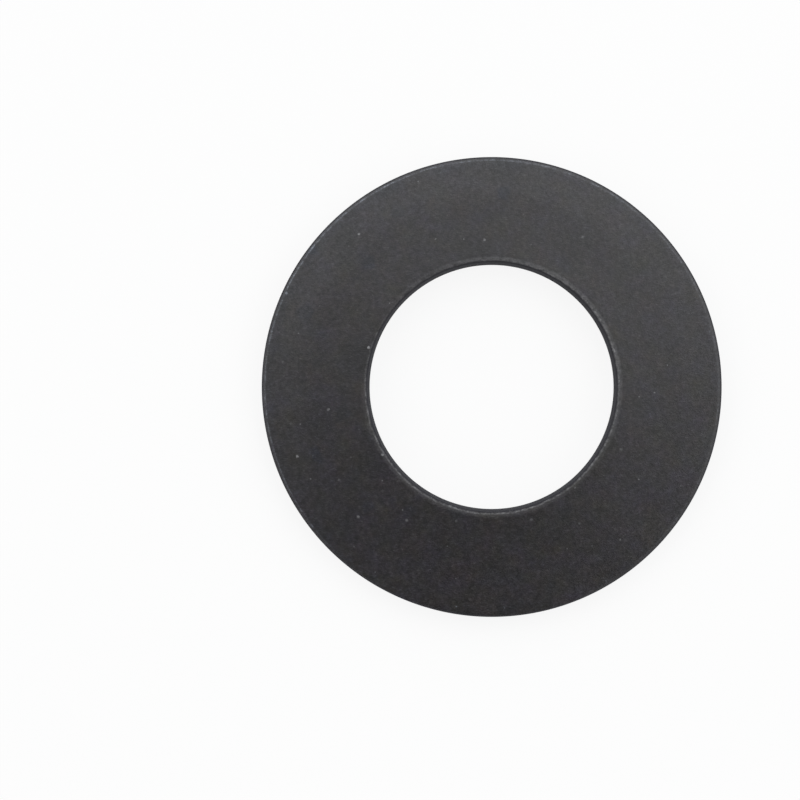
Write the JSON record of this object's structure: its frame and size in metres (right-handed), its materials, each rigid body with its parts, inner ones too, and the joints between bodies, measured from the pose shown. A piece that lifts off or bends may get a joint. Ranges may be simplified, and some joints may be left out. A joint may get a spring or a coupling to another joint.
{
  "type": "conical spring washer",
  "caption": "Shallow cone-shaped spring steel ring that loads a bolt or bearing as it is flattened, with a plain centre hole and tipped walls.",
  "frame": {"origin": "on the washer's axis, in the plane that the rim's lower edge rests on", "axes": "+Z is the washer's axis and points the way the cone's apex does; X and Y are any two square directions across it, since the washer is round"},
  "size_m": [0.023, 0.023, 0.0018],
  "materials": {
    "phosphated_steel": "matte"
  },
  "bodies": {
    "root": {"conical_washer": "phosphated_steel"}
  },
  "joints": []
}
